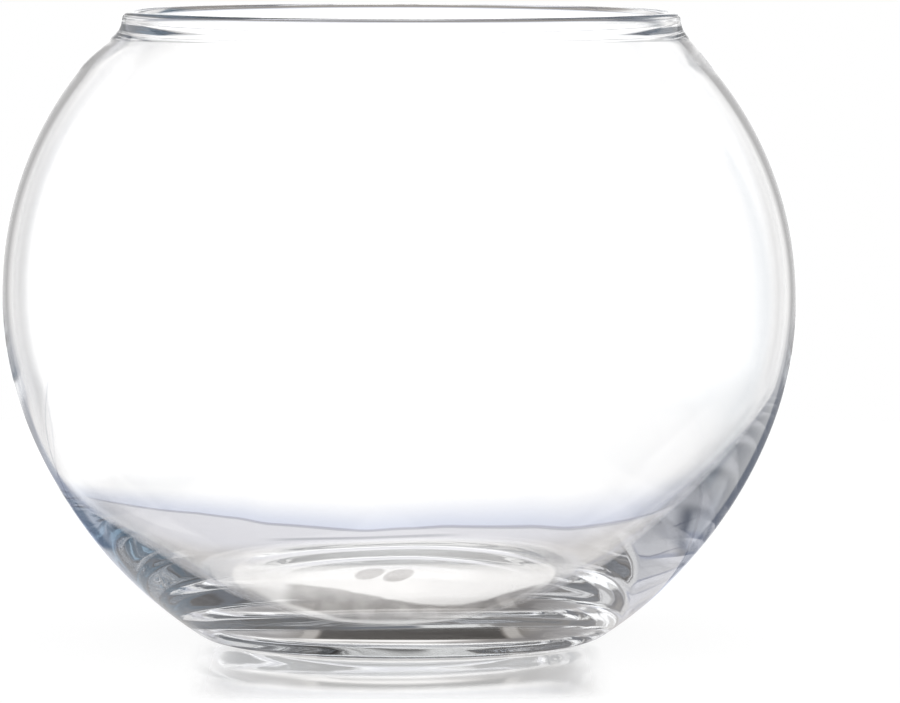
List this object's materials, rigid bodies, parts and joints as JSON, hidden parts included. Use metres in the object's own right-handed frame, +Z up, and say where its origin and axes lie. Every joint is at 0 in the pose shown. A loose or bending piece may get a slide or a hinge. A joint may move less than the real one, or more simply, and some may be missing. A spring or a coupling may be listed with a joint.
{
  "type": "ball vase",
  "caption": "Clear glass ball vase: a round bowl with a wide open mouth, a short upright lip and a thick base with a shallow hollow underneath.",
  "frame": {"origin": "centre of the resting ring, on the plane the vase stands on", "axes": "+Z up along the bowl's axis, out of the mouth; the bowl is round, so X and Y are free"},
  "size_m": [0.19, 0.19, 0.15],
  "materials": {
    "clear_glass": "clear, polished"
  },
  "bodies": {
    "root": {"glass_bowl": "clear_glass"}
  },
  "joints": []
}
